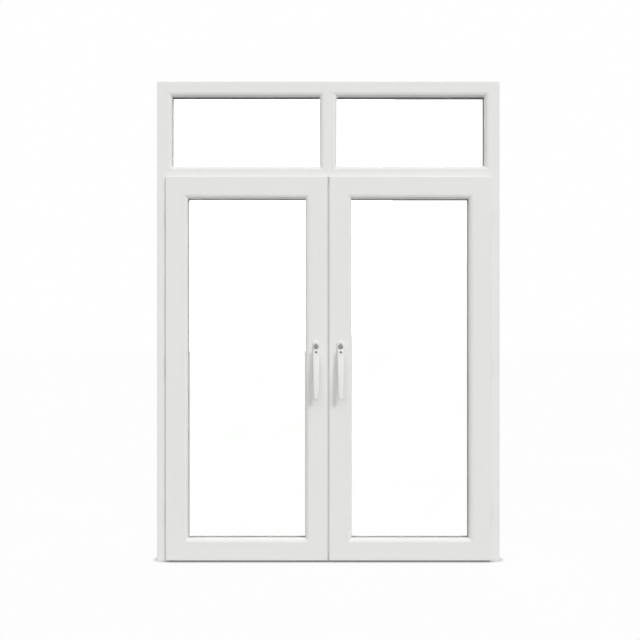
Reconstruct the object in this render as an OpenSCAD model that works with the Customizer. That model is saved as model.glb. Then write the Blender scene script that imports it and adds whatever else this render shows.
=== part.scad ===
// French doors: two leaves in a fixed frame with two top lights.
// All sizes in millimetres. Origin: centre of the frame's bottom face.
// +Z up, the room side faces -Y, X runs along the width.

/* [Overall] */
// Overall width over the frame
door_w = 1715; // [1500:1:1900]
// Overall height over the frame
door_h = 2400; // [2250:1:2550]
// Height of the top lights' zone, transom centre line to the top
top_h = 465; // [380:1:550]

/* [Frame profiles] */
// Depth of the frame, room face to outside face
frame_d = 70; // [66:1:80]
// Width of the outer frame's room face, up to its rebate
frame_face = 54; // [48:1:64]
// Width of the transom's and the mullion's room face
bar_face = 44; // [40:1:60]
// Height of the rebate lip on every profile
lip_h = 20; // [18:1:24]
// Thickness of the rebate lip
lip_t = 16; // [14:1:18]
// Outer wall of the hollow profiles
wall_t = 3; // [2.4:0.1:3.2]
// Webs between the chambers
web_t = 2; // [1.5:0.1:2.4]
// Rounding of the visible long edges
edge_r = 3; // [1:0.5:4]

/* [Leaves] */
// From the handle's spindle to the glazing rebate, across the leaf profile
spindle_in = 33.5; // [32:0.5:40]
// Width of the flange that overlaps the frame
flange_w = 20; // [18:1:22]
// How far the flange laps over the frame's face
overlap = 8; // [7.6:0.1:9]
// Gap between a leaf and the frame, filled by a seal
seal_gap = 3; // [2.6:0.1:3.6]
// Gap between the two meeting edges
meeting_gap = 9; // [8:0.5:12]
// Gap under the leaves
floor_gap = 6; // [5.5:0.1:6.5]
// Height of the threshold's base
threshold_h = 14; // [13.6:0.1:14.4]
// Play between a seal and the face that it meets
seal_play = 0.3; // [0.2:0.05:0.4]

/* [Glazing] */
// Thickness of each pane
pane_t = 4; // [3:0.5:5]
// Width of the sealed space between the panes
cavity_t = 16; // [12:1:18]
// Thickness of the glazing gaskets
gasket_t = 3; // [2.5:0.5:4]
// Gap between the glass edge and the rebate
glass_clear = 5; // [4:0.5:6]
// Height of the spacer bar
spacer_h = 6.5; // [5:0.5:7]
// Distance from the glass edge to the spacer bar
spacer_in = 4; // [3:0.5:4.5]
// Length of a setting block
packer_l = 90; // [60:1:120]

/* [Handles] */
// Height of the spindle above the bottom face
handle_z = 1046; // [950:1:1150]
// From the leaf body's edge to the spindle
backset = 36.5; // [34:0.5:40]
// Lever length, spindle to tip
lever_l = 235; // [160:1:260]
// Lever width at the spindle
lever_w = 35; // [30:0.5:38]
// Lever width near the tip
tip_w = 24; // [18:0.5:28]
// Lever thickness
lever_t = 12; // [9:0.5:16]
// How far the lever's back stands off the leaf at the spindle
lever_off = 18; // [17.5:0.5:24]
// How far the lever's back stands off the leaf at the tip
tip_off = 44; // [30:1:60]
// Backplate width
rose_w = 34; // [32:0.5:44]
// Backplate thickness
rose_t = 12; // [10:0.5:14]
// Backplate edge below the spindle
rose_down = 41; // [36:1:60]
// Backplate edge above the spindle
rose_up = 54; // [51:1:70]
// Spindle square
spindle_s = 7; // [6:0.5:8]
// From the spindle up to the lock
lock_rise = 28; // [26:0.5:29]
// Radius of the lock's turn
turn_r = 12; // [9:0.5:13]

/* [Shoot bolt gear] */
// Gear module
gear_m = 2; // [1.8:0.05:2.1]
// Pinion teeth
gear_n = 12; // [12:2:14]
// Pressure angle
gear_a = 25; // [22:1:27]
// Width of the pinion and of the racks
gear_w = 8; // [6:0.5:9]
// Thickness of the rods
rod_t = 6; // [5:0.5:7]
// Diameter of the bolt ends
bolt_d = 8; // [6:0.5:9]
// How far the drawn bolts stand out at the top
bolt_out_top = 6; // [4:0.5:8]
// How far the drawn bolts stand out at the bottom
bolt_out_low = 3; // [2:0.5:4]

/* [Hinges] */
// Hinges on each leaf
hinge_n = 3; // [2:1:4]
// Height of a hinge over its three knuckles
hinge_h = 92; // [80:1:110]
// Knuckle radius
knuckle_r = 5; // [4.6:0.1:5.2]
// How far the hinge axis stands in front of the frame's face
axis_out = 10; // [9.5:0.5:12]
// Pin diameter
pin_d = 6; // [5:0.5:6.5]
// Plate thickness of the hinge parts
plate_t = 3; // [2:0.5:3]
// From the leaf's top or bottom edge to the nearest hinge
hinge_in = 230; // [180:1:300]

/* [Fixings] */
// Frame fixing hole diameter
fix_d = 8; // [6:0.5:10]
// Height of the lower frame fixing
fix_low = 430; // [380:1:500]
// Height of the upper frame fixing
fix_high = 1430; // [1380:1:1500]

/* [Hidden] */
$fn = 48;
eps = 1;
play = 0.2;
transom_z = door_h - top_h;
leaf_face = flange_w + backset + spindle_in;
// half of the joint left open between two mitred strips
strip_gap = 0.05;
face_y = -frame_d / 2;
back_y = frame_d / 2;
lip_y = back_y - lip_t;
rebate_d = frame_d - lip_t;
// leaf planes: the whole profile stands forward of the frame by lip_t + seal_gap
shift = lip_t + seal_gap;
leaf_y = face_y - shift;
leaf_back = back_y - shift;
leaf_lip_y = lip_y - shift;
flange_y = face_y - seal_gap;
// leaf outline
jamb_x = door_w / 2 - frame_face;
leaf_x0 = -(jamb_x + overlap);
leaf_x1 = -meeting_gap / 2;
leaf_w = leaf_x1 - leaf_x0;
leaf_cx = (leaf_x0 + leaf_x1) / 2;
leaf_z0 = floor_gap;
leaf_z1 = transom_z - bar_face / 2 + overlap;
leaf_h = leaf_z1 - leaf_z0;
leaf_cz = (leaf_z0 + leaf_z1) / 2;
// glazed openings, measured at the rebates
light_w = jamb_x - bar_face / 2;
light_cx = -(jamb_x + bar_face / 2) / 2;
light_z0 = transom_z + bar_face / 2;
light_z1 = door_h - frame_face;
light_h = light_z1 - light_z0;
light_cz = (light_z0 + light_z1) / 2;
sash_w = leaf_w - 2 * leaf_face;
sash_h = leaf_h - 2 * leaf_face;
// glazing planes, measured forward (-Y) from the face of the rebate lip
g1 = gasket_t;
g2 = g1 + pane_t;
g3 = g2 + cavity_t;
g4 = g3 + pane_t;
g5 = g4 + gasket_t;
// steel sections
steel_t = 1.5;
steel_play = 0.5;
// hardware in the lock stile
spindle_x = leaf_x1 - flange_w - backset;
pitch_r = gear_m * gear_n / 2;
gear_pitch = PI * gear_m;
base_r = pitch_r * cos(gear_a);
addendum = 0.9 * gear_m;
dedendum = 1.15 * gear_m;
travel = pitch_r * PI / 2;
rod_c = pitch_r + dedendum + rod_t / 2;
rack_end = travel + addendum + gear_m * 3;
cavity_h = travel + 2 * gear_pitch + 1.5;
case_u = rod_c + rod_t / 2 + 0.5 + 4;
case_up = 55;
case_down = 45;
screw_d = 5;
screw_low = -(rose_down - 9);
screw_high = rose_up - 6.5;
body_top = leaf_z1 - flange_w;
body_low = leaf_z0 + flange_w;
// chambers of the leaf profile across its depth
ch_front = leaf_y + wall_t + (lip_t - 2 * wall_t);
ch_steel0 = ch_front + web_t;
ch_steel1 = leaf_lip_y - wall_t - web_t;
gear_y = (ch_steel0 + ch_steel1) / 2;
// hinge axis
axis_x = leaf_x0 + knuckle_r;
axis_y = face_y - axis_out;
pocket_h = hinge_h + 8;
hinge_zs = [for (i = [0:hinge_n - 1])
    leaf_z0 + hinge_in + i * (leaf_h - 2 * hinge_in) / (hinge_n - 1)];
bracket_h = hinge_h * 0.44;
bracket_d = lip_y - 9 - axis_y;

white = "#f1f1ef";
steel = "#9aa0a6";
dark = "#3a3c3d";
rubber = "#5c5f61";
glass = [0.8, 0.88, 0.9, 0.4];

// ---------- helpers ----------

function unit(v) = v / norm(v);

// Corner points of one polygon vertex, rounded over radius r
function corner(a, p, b, r) =
    r <= 0 ? [p] :
    let (u = unit(a - p), w = unit(b - p), half = acos(u * w) / 2, t = r / tan(half))
    [for (k = [0:0.25:1]) (1 - k) * (1 - k) * (p + u * t) + 2 * k * (1 - k) * p + k * k * (p + w * t)];

// Polygon from a list of [x, y, radius]
function rounded(q) = [for (i = [0:len(q) - 1])
    let (n = len(q), a = q[(i + n - 1) % n], p = q[i], b = q[(i + 1) % n])
    each corner([a[0], a[1]], [p[0], p[1]], [b[0], b[1]], p[2])];

function arc(cx, cy, r, a0, a1, n) = [for (i = [0:n])
    [cx + r * cos(a0 + (a1 - a0) * i / n), cy + r * sin(a0 + (a1 - a0) * i / n)]];

// Rectangle given by its limits
module rect(x0, x1, y0, y1) {
    translate([x0, y0]) square([x1 - x0, y1 - y0]);
}

// Box given by its limits
module block(x0, x1, y0, y1, z0, z1) {
    translate([x0, y0, z0]) cube([x1 - x0, y1 - y0, z1 - z0]);
}

// Bar along X, centred; the 2D section is drawn as (depth, height)
module along_x(length) {
    translate([-length / 2, 0, 0]) rotate([90, 0, 90]) linear_extrude(length) children();
}

// Cylinder along Y from y0 to y1
module rod_y(x, z, d, y0, y1) {
    translate([x, y1, z]) rotate([90, 0, 0]) cylinder(d = d, h = y1 - y0);
}

// Cylinder along X from x0 to x1
module rod_x(y, z, d, x0, x1) {
    translate([x0, y, z]) rotate([0, 90, 0]) cylinder(d = d, h = x1 - x0);
}

// Cut a bar's ends to 45 degrees, shorter as the height grows; b = 0 keeps the +X end square
module mitre(length, deep, a, b) {
    intersection() {
        children();
        rotate([90, 0, 0]) translate([0, 0, -300]) linear_extrude(600)
            polygon([[-length / 2 - eps, -eps], [length / 2 + eps, -eps],
                [length / 2 - b * deep + (1 - 2 * b) * eps, deep + eps],
                [-length / 2 + a * deep - (1 - 2 * a) * eps, deep + eps]]);
    }
}

// Place a bar drawn along X, outer edge at z = 0, on one side of a rectangle
module on_side(side, w, h, cx, cz) {
    translate([cx, 0, cz]) {
        if (side == "low") translate([0, 0, -h / 2]) children();
        if (side == "top") mirror([0, 0, 1]) translate([0, 0, -h / 2]) children();
        if (side == "left") translate([-w / 2, 0, 0]) rotate([0, 90, 0]) children();
        if (side == "right") mirror([1, 0, 0]) translate([-w / 2, 0, 0]) rotate([0, 90, 0]) children();
    }
}

// Four mitred strips round the inside of a rectangle, from a 2D section
module ring(w, h, cx, cz, deep) {
    for (side = ["low", "top", "left", "right"]) {
        length = (side == "low" || side == "top") ? w : h;
        on_side(side, w, h, cx, cz) mitre(length - 2 * strip_gap, deep, 1, 1) along_x(length) children();
    }
}

// ---------- profiles, drawn as (depth, height from the outer edge) ----------

module frame_section() {
    difference() {
        polygon(rounded([[face_y, 0, edge_r], [face_y, frame_face, 1], [lip_y, frame_face, 0],
            [lip_y, frame_face + lip_h, 1], [back_y, frame_face + lip_h, edge_r], [back_y, 0, edge_r]]));
        frame_chambers(wall_t, frame_face - wall_t, wall_t, frame_face + lip_h - wall_t);
    }
}

// Chambers shared by the frame, the transom and the mullion: u limits of body and lip
module frame_chambers(u0, u1, l0, l1) {
    rect(face_y + wall_t, frame_c0 - web_t, u0, u1);
    rect(frame_c0, frame_c1, u0, u1);
    rect(frame_c1 + web_t, lip_y + wall_t - web_t, u0, u1);
    rect(lip_y + wall_t, back_y - wall_t, l0, l1);
}
frame_c0 = face_y + 15;
frame_c1 = lip_y - 11;

module bar_section() {
    h = bar_face / 2;
    difference() {
        polygon(rounded([[face_y, -h, 1], [face_y, h, 1], [lip_y, h, 0], [lip_y, h + lip_h, 1],
            [back_y, h + lip_h, edge_r], [back_y, -h - lip_h, edge_r], [lip_y, -h - lip_h, 1],
            [lip_y, -h, 0]]));
        frame_chambers(-h + wall_t, h - wall_t, -h - lip_h + wall_t, h + lip_h - wall_t);
    }
}

module threshold_section() {
    top = threshold_h + lip_h;
    difference() {
        polygon(rounded([[face_y, 0, 0], [face_y, threshold_h, 1.5], [lip_y, threshold_h, 0],
            [lip_y, top, 1], [back_y, top, edge_r], [back_y, 0, 0]]));
        rect(face_y + wall_t, -web_t / 2, 2, threshold_h - wall_t);
        rect(web_t / 2, lip_y - web_t, 2, threshold_h - wall_t);
        rect(lip_y + wall_t, back_y - wall_t, 2, top - wall_t);
    }
}

module leaf_section() {
    mid = (flange_w + leaf_face) / 2;
    end = leaf_face + lip_h;
    difference() {
        polygon(rounded([[leaf_y, 0, edge_r], [leaf_y, leaf_face, 1], [leaf_lip_y, leaf_face, 0],
            [leaf_lip_y, end, 1], [leaf_back, end, edge_r], [leaf_back, flange_w, 1],
            [flange_y, flange_w, 0], [flange_y, 0, 1]]));
        rect(leaf_y + wall_t, ch_front, wall_t, flange_w);
        rect(leaf_y + wall_t, ch_front, flange_w + web_t, mid - web_t);
        rect(leaf_y + wall_t, ch_front, mid, leaf_face - wall_t);
        rect(ch_steel0, ch_steel1, flange_w + wall_t, leaf_face - wall_t);
        rect(ch_steel1 + web_t, leaf_back - wall_t, flange_w + wall_t, mid - web_t);
        rect(ch_steel1 + web_t, leaf_back - wall_t, mid, leaf_face - wall_t);
        rect(leaf_lip_y + wall_t, leaf_back - wall_t, leaf_face - wall_t + web_t, end - wall_t);
    }
}

// Glazing bead: foot on the rebate, a shallow slope and then a steep one towards the glass
module bead_section(y0) {
    front = y0 - rebate_d;
    back = y0 - g5;
    deep = back - front;
    h = lip_h;
    difference() {
        polygon(rounded([[front + 1, 0, 0], [front, h * 0.08, 0.5], [front + deep * 0.12, h * 0.56, 0.5],
            [front + deep * 0.44, h, 1.2], [back, h, 0.4], [back, 0, 0]]));
        polygon([[front + 3, 2], [front + deep * 0.12 + 2.6, h * 0.5], [front + deep * 0.44 + 1.6, h - 2.6],
            [back - 2, h - 2.6], [back - 2, 2]]);
    }
}

module tube_section(v0, v1, u0, u1) {
    difference() {
        rect(v0, v1, u0, u1);
        rect(v0 + steel_t, v1 - steel_t, u0 + steel_t, u1 - steel_t);
    }
}

module channel_section(v0, v1, u0, u1) {
    difference() {
        rect(v0, v1, u0, u1);
        rect(v0 + steel_t, v1 - steel_t, u0 - eps, u1 - steel_t);
    }
}

// ---------- glazing of one rebated opening; y0 = face of the rebate lip ----------

module pane(w, h, cx, cz, y_back) {
    block(cx - w / 2 + glass_clear, cx + w / 2 - glass_clear, y_back - pane_t, y_back,
        cz - h / 2 + glass_clear, cz + h / 2 - glass_clear);
}

module spacer_ring(w, h, cx, cz, y0) {
    u0 = glass_clear + spacer_in;
    t = 0.6;
    ring(w, h, cx, cz, lip_h) difference() {
        rect(y0 - g3, y0 - g2, u0, u0 + spacer_h);
        rect(y0 - g3 + t, y0 - g2 - t, u0 + t, u0 + spacer_h - t);
    }
}

module gasket_rings(w, h, cx, cz, y0) {
    ring(w, h, cx, cz, lip_h) rect(y0 - g1, y0, lip_h * 0.45, lip_h);
    ring(w, h, cx, cz, lip_h) rect(y0 - g5, y0 - g4, lip_h * 0.45, lip_h);
}

module packer_set(w, h, cx, cz, y0) {
    dx = w / 2 - packer_l;
    dz = h / 2 - packer_l;
    for (s = [-1, 1]) for (e = [-1, 1]) {
        z = cz + s * (h - glass_clear) / 2;
        x = cx + s * (w - glass_clear) / 2;
        block(cx + e * dx - packer_l / 2, cx + e * dx + packer_l / 2, y0 - g4, y0 - g1,
            z - glass_clear / 2, z + glass_clear / 2);
        block(x - glass_clear / 2, x + glass_clear / 2, y0 - g4, y0 - g1,
            cz + e * dz - packer_l / 2, cz + e * dz + packer_l / 2);
    }
}

// ---------- fixed frame ----------

module fixing_holes(s) {
    for (z = [fix_low, fix_high]) {
        rod_x((frame_c0 + frame_c1) / 2, z, fix_d, min(s * jamb_x, s * door_w / 2) - eps,
            max(s * jamb_x, s * door_w / 2) + eps);
    }
}

module frame_head() {
    color(white) on_side("top", door_w, door_h, 0, door_h / 2)
        mitre(door_w, frame_face + lip_h, 1, 1) along_x(door_w) frame_section();
}

module frame_jamb_left() {
    color(white) difference() {
        on_side("left", door_w, door_h, 0, door_h / 2)
            mitre(door_h, frame_face + lip_h, 1, 0) along_x(door_h) frame_section();
        fixing_holes(-1);
    }
}

module frame_jamb_right() {
    color(white) difference() {
        on_side("right", door_w, door_h, 0, door_h / 2)
            mitre(door_h, frame_face + lip_h, 1, 0) along_x(door_h) frame_section();
        fixing_holes(1);
    }
}

// Keep hole of a bolt at distance cx from the centre line
module keep_holes(d) {
    for (s = [-1, 1]) {
        translate([s * -top_bolt_x, gear_y, transom_z - bar_face / 2 - 3])
            cylinder(d = d, h = travel + bolt_out_top + 3 - flange_w + overlap + 3);
    }
}
top_bolt_x = -(spindle_x - rod_c);
low_bolt_x = -(spindle_x + rod_c);

module transom() {
    color(white) difference() {
        translate([0, 0, transom_z]) along_x(2 * jamb_x) bar_section();
        for (s = [-1, 1]) {
            block(min(s * jamb_x, s * (jamb_x - lip_h)) - (s < 0 ? eps : 0),
                max(s * jamb_x, s * (jamb_x - lip_h)) + (s > 0 ? eps : 0), lip_y, back_y + eps,
                transom_z - bar_face, transom_z + bar_face);
        }
        keep_holes(bolt_d + 2);
    }
}

module mullion() {
    color(white) difference() {
        translate([0, 0, light_cz]) rotate([0, 90, 0]) along_x(light_h) bar_section();
        block(-bar_face, bar_face, lip_y, back_y + eps, light_z0 - eps, light_z0 + lip_h);
        block(-bar_face, bar_face, lip_y, back_y + eps, light_z1 - lip_h, light_z1 + eps);
    }
}

module threshold() {
    color("#b9bcbd") difference() {
        along_x(2 * jamb_x) threshold_section();
        for (s = [-1, 1]) {
            block(min(s * jamb_x, s * (jamb_x - lip_h)) - (s < 0 ? eps : 0),
                max(s * jamb_x, s * (jamb_x - lip_h)) + (s > 0 ? eps : 0), lip_y, back_y + eps,
                -eps, threshold_h + lip_h + eps);
            translate([s * low_bolt_x, gear_y, -eps]) cylinder(d = bolt_d + 2, h = threshold_h + 2 * eps);
        }
    }
}

module frame_reinforcements() {
    v0 = frame_c0 + steel_play;
    v1 = frame_c1 - steel_play;
    u0 = wall_t + steel_play;
    u1 = frame_face - wall_t - steel_play;
    b = bar_face / 2 - wall_t - steel_play;
    in = frame_face + lip_h;
    color(steel) {
        on_side("top", door_w, door_h, 0, door_h / 2) along_x(door_w - 2 * in) tube_section(v0, v1, u0, u1);
        for (s = [-1, 1]) difference() {
            on_side(s < 0 ? "left" : "right", door_w, door_h, 0, door_h / 2)
                translate([in / 2 - 10, 0, 0]) along_x(door_h - in - 20) tube_section(v0, v1, u0, u1);
            fixing_holes(s);
        }
        difference() {
            translate([0, 0, transom_z]) along_x(2 * jamb_x - 20) tube_section(v0, v1, -b, b);
            keep_holes(bolt_d + 2);
        }
        translate([0, 0, light_cz]) rotate([0, 90, 0]) along_x(light_h - 20) tube_section(v0, v1, -b, b);
    }
}

// Seal on the rebate lips, all round the doorway
module frame_seal() {
    w = 2 * (jamb_x - lip_h + overlap) - 2;
    z0 = threshold_h + lip_h - overlap + 1;
    z1 = transom_z - bar_face / 2 - lip_h + overlap - 1;
    color(rubber) ring(w, z1 - z0, 0, (z0 + z1) / 2, overlap)
        polygon(rounded([[lip_y - seal_gap + seal_play, 0, 1], [lip_y - seal_gap + seal_play, overlap - 2, 1],
            [lip_y, overlap - 2, 0], [lip_y, 0, 0]]));
}

module toplight_panes() {
    color(glass) for (s = [-1, 1]) {
        pane(light_w, light_h, -s * light_cx, light_cz, lip_y - g1);
        pane(light_w, light_h, -s * light_cx, light_cz, lip_y - g3);
    }
}

module toplight_spacers() {
    color("#8d9092") for (s = [-1, 1]) spacer_ring(light_w, light_h, s * light_cx, light_cz, lip_y);
}

module toplight_beads() {
    color(white) for (s = [-1, 1])
        ring(light_w, light_h, s * light_cx, light_cz, lip_h) bead_section(lip_y);
}

module toplight_gaskets() {
    color(rubber) for (s = [-1, 1]) gasket_rings(light_w, light_h, s * light_cx, light_cz, lip_y);
}

module toplight_packers() {
    color("#2f6f9f") for (s = [-1, 1]) packer_set(light_w, light_h, s * light_cx, light_cz, lip_y);
}

module keep_plate(x, z0) {
    w = 25;
    difference() {
        block(x - w, x + w, face_y + 1, 2 * gear_y - face_y - 2, z0, z0 + 2);
        translate([x, gear_y, z0 - eps]) cylinder(d = bolt_d + 2, h = 2 + 2 * eps);
    }
}

module bolt_keeps() {
    color(steel) for (s = [-1, 1]) {
        keep_plate(s * top_bolt_x, transom_z - bar_face / 2 - 2);
        keep_plate(s * low_bolt_x, threshold_h);
    }
}

// Fixed half of the hinges: middle knuckle and a plate along the jamb's rebate
module bracket(z) {
    difference() {
        union() {
            translate([axis_x, axis_y, z - bracket_h / 2]) cylinder(r = knuckle_r, h = bracket_h);
            block(-jamb_x, -jamb_x + plate_t, axis_y, axis_y + bracket_d, z - bracket_h / 2, z + bracket_h / 2);
        }
        translate([axis_x, axis_y, z - hinge_h]) cylinder(d = pin_d, h = 2 * hinge_h);
    }
}

module both_sides() {
    children();
    mirror([1, 0, 0]) children();
}

module hinge_brackets() {
    color(steel) both_sides() for (z = hinge_zs) bracket(z);
}

module hinge_pins() {
    color(steel) both_sides() for (z = hinge_zs)
        translate([axis_x, axis_y, z - hinge_h / 2 - 1]) cylinder(d = pin_d, h = hinge_h + 2);
}

// ---------- leaf, drawn for the left side and mirrored for the right ----------

// Space for a hinge in the leaf's flange
module hinge_pocket(z) {
    block(leaf_x0 - eps, leaf_x0 + flange_w, axis_y, flange_y + eps, z - pocket_h / 2, z + pocket_h / 2);
    translate([axis_x, axis_y, z - pocket_h / 2]) cylinder(r = knuckle_r + 0.5, h = pocket_h);
}

module leaf_bar(side) {
    length = (side == "low" || side == "top") ? leaf_w : leaf_h;
    on_side(side, leaf_w, leaf_h, leaf_cx, leaf_cz)
        mitre(length, leaf_face + lip_h, 1, 1) along_x(length) leaf_section();
}

module hinge_stile() {
    difference() {
        leaf_bar("left");
        for (z = hinge_zs) hinge_pocket(z);
    }
}

// Holes for the handle: spindle and two fixing screws
module handle_holes(y0, y1) {
    rod_y(spindle_x, handle_z, hub_d + 2, y0, y1);
    rod_y(spindle_x, handle_z + screw_low, screw_d + 1, y0, y1);
    rod_y(spindle_x, handle_z + screw_high, screw_d + 1, y0, y1);
}
hub_d = 2 * (pitch_r - dedendum) - 4;

module lock_stile() {
    difference() {
        leaf_bar("right");
        handle_holes(leaf_y - eps, ch_steel0 + eps);
        block(leaf_x1 - flange_w - wall_t - eps, leaf_x1 - flange_w + eps, ch_steel0 + 2, ch_steel1 - 2,
            handle_z - case_down - 2, handle_z + case_up + 2);
    }
}

module top_rail() {
    difference() {
        leaf_bar("top");
        translate([-top_bolt_x, gear_y, body_top - wall_t - eps])
            cylinder(d = bolt_d + 2 * play, h = wall_t + 2 * eps);
    }
}

module bottom_rail() {
    difference() {
        leaf_bar("low");
        translate([-low_bolt_x, gear_y, body_low - eps])
            cylinder(d = bolt_d + 2 * play, h = wall_t + 2 * eps);
    }
}

module reinforcements() {
    v0 = ch_steel0 + steel_play;
    v1 = ch_steel1 - steel_play;
    u0 = flange_w + wall_t + steel_play;
    u1 = leaf_face - wall_t - steel_play;
    in = leaf_face + lip_h;
    for (side = ["low", "top", "left"]) {
        length = side == "left" ? leaf_h : leaf_w;
        on_side(side, leaf_w, leaf_h, leaf_cx, leaf_cz) along_x(length - 2 * in) tube_section(v0, v1, u0, u1);
    }
    difference() {
        on_side("right", leaf_w, leaf_h, leaf_cx, leaf_cz) along_x(leaf_h - 2 * in)
            channel_section(v0, v1, u0, u1);
        handle_holes(v0 - eps, v0 + steel_t + eps);
    }
}

// Adaptor that fills the meeting edge behind the flange
module meeting_profile() {
    h = body_top - body_low;
    mid = (flange_y + leaf_back) / 2;
    translate([0, 0, body_low + h / 2]) on_side("right", leaf_w, h, leaf_cx, 0) along_x(h) difference() {
        polygon(rounded([[flange_y, 0, 0], [flange_y, flange_w, 0], [leaf_back, flange_w, 0],
            [leaf_back, 0, edge_r]]));
        rect(flange_y + wall_t, mid - web_t / 2, wall_t, flange_w - wall_t);
        rect(mid + web_t / 2, leaf_back - wall_t, wall_t, flange_w - wall_t);
    }
}

module leaf_seal() {
    y1 = face_y - seal_play;
    u0 = overlap * 0.375;
    u1 = overlap - 0.5;
    difference() {
        union() {
            for (side = ["low", "top", "left"]) {
                length = side == "left" ? leaf_h : leaf_w;
                on_side(side, leaf_w, leaf_h, leaf_cx, leaf_cz) mitre(length, flange_w, 1, 1) along_x(length)
                    polygon(rounded([[flange_y, u0, 0], [flange_y, u1, 0], [y1, u1, 1], [y1, u0, 1]]));
            }
        }
        for (z = hinge_zs) block(leaf_x0 - eps, leaf_x0 + flange_w, flange_y - eps, face_y,
            z - pocket_h / 2, z + pocket_h / 2);
    }
    t = meeting_gap / 2 - seal_play;
    on_side("right", leaf_w, leaf_h, leaf_cx, leaf_cz) along_x(leaf_h)
        polygon(rounded([[leaf_y + 4, 0, 0], [leaf_y + 4, -t, 1.5], [leaf_y + 10, -t, 1.5],
            [leaf_y + 10, 0, 0]]));
}

// Moving half of the hinges: outer knuckles, arms and a plate on the leaf's body
module hinge_flap(z) {
    k = (hinge_h - bracket_h) / 2 - 0.3;
    difference() {
        union() {
            for (s = [-1, 1]) {
                z0 = s > 0 ? z + bracket_h / 2 + 0.3 : z - hinge_h / 2;
                translate([axis_x, axis_y, z0]) cylinder(r = knuckle_r, h = k);
                block(axis_x, leaf_x0 + flange_w, axis_y, axis_y + plate_t, z0, z0 + k);
            }
            block(leaf_x0 + flange_w - plate_t, leaf_x0 + flange_w, axis_y, axis_y + bracket_d,
                z - hinge_h / 2, z + hinge_h / 2);
        }
        translate([axis_x, axis_y, z - hinge_h]) cylinder(d = pin_d + 2 * play, h = 2 * hinge_h);
    }
}

// ---------- handle and shoot bolt gear ----------

module rose_outline(grow) {
    r = rose_w * 0.36 + grow;
    w = rose_w / 2 + grow;
    polygon(rounded([[spindle_x - w, handle_z - rose_down - grow, r], [spindle_x + w, handle_z - rose_down - grow, r],
        [spindle_x + w, handle_z + rose_up + grow, r], [spindle_x - w, handle_z + rose_up + grow, r]]));
}

module handle_rose() {
    neck = neck_d + 2 * play;
    difference() {
        union() {
            translate([0, leaf_y, 0]) rotate([90, 0, 0]) linear_extrude(rose_t - 2) rose_outline(0);
            translate([0, leaf_y - rose_t + 2, 0]) rotate([90, 0, 0]) linear_extrude(2) rose_outline(-2);
        }
        rod_y(spindle_x, handle_z, neck, leaf_y - rose_t - eps, leaf_y + eps);
        rod_y(spindle_x, handle_z + lock_rise, lock_d + 2 * play, leaf_y - rose_t - eps, leaf_y - 2);
        for (z = [screw_low, screw_high])
            rod_y(spindle_x, handle_z + z, screw_d, leaf_y - 6, leaf_y + eps);
    }
    for (z = [screw_low, screw_high])
        rod_y(spindle_x, handle_z + z, screw_d, leaf_y - 6, case_y0 + 6);
}
neck_d = 20;
lock_d = 18;
case_y0 = ch_steel0 + steel_play + steel_t + play;
case_y1 = ch_steel1 - steel_play - steel_t - play;

module spindle_solid() {
    translate([spindle_x - spindle_s / 2, leaf_y - lever_off - lever_t + 4, handle_z - spindle_s / 2])
        cube([spindle_s, case_y1 - 1 - leaf_y + lever_off + lever_t - 4, spindle_s]);
    rod_y(spindle_x, handle_z, 11, leaf_y - lever_off - lever_t, leaf_y - lever_off - lever_t + 4);
}

module handle_lever() {
    y0 = leaf_y - lever_off;
    y1 = leaf_y - tip_off;
    top = handle_z + 14;
    tip = handle_z - lever_l;
    w = lever_w / 2;
    bend = handle_z - 16;
    lean_steps = 12;
    // The back of the blade at share t of its way down: it leans out fast at first, then hangs upright
    function lean(t) = y0 + (y1 - y0) * (1 - pow(1 - t, 2));
    function drop(t) = bend + (tip - bend) * t;
    difference() {
        union() {
            intersection() {
                translate([spindle_x, 0, 0]) along_x(3 * lever_w)
                    polygon(rounded(concat(
                        [[y0, top, 1.5], [y0 - lever_t, top, 5]],
                        [for (i = [0:lean_steps]) [lean(i / lean_steps) - lever_t, drop(i / lean_steps),
                            i == 0 ? 60 : i == lean_steps ? 5 : 0]],
                        [for (i = [lean_steps:-1:0]) [lean(i / lean_steps), drop(i / lean_steps),
                            i == 0 ? 60 : i == lean_steps ? 4 : 0]])));
                rotate([90, 0, 0]) linear_extrude(400)
                    polygon(concat(
                        arc(spindle_x + w - 9, top - 9, 9, 0, 90, 6),
                        arc(spindle_x - w + 9, top - 9, 9, 90, 180, 6),
                        [[spindle_x - w, handle_z - 20]],
                        arc(spindle_x, tip + tip_w / 2, tip_w / 2, 180, 360, 16),
                        [[spindle_x + w, handle_z - 20]]));
            }
            rod_y(spindle_x, handle_z, neck_d, y0 - eps, leaf_y - 2);
        }
        spindle_solid();
    }
}

function involute(r) = let (a = acos(base_r / r)) tan(a) * 180 / PI - a;
function tooth_half(r) = 90 / gear_n - 0.12 / pitch_r * 180 / PI
    + tan(gear_a) * 180 / PI - gear_a - (r > base_r ? involute(r) : 0);

module pinion() {
    root = pitch_r - dedendum;
    tip = pitch_r + addendum;
    rs = [root, base_r, for (k = [1:5]) base_r + (tip - base_r) * k / 5];
    n = len(rs);
    difference() {
        union() {
            translate([spindle_x, gear_y + gear_w / 2, handle_z]) rotate([90, 0, 0]) linear_extrude(gear_w)
                polygon([for (t = [0:gear_n - 1]) let (a = t * 360 / gear_n) each concat(
                    [for (i = [0:n - 1]) rs[i] * [cos(a - tooth_half(rs[i])), sin(a - tooth_half(rs[i]))]],
                    [for (i = [n - 1:-1:0]) rs[i] * [cos(a + tooth_half(rs[i])), sin(a + tooth_half(rs[i]))]])]);
            rod_y(spindle_x, handle_z, hub_d, case_y0 + 1, case_y1 - 1);
        }
        spindle_solid();
    }
}

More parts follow.
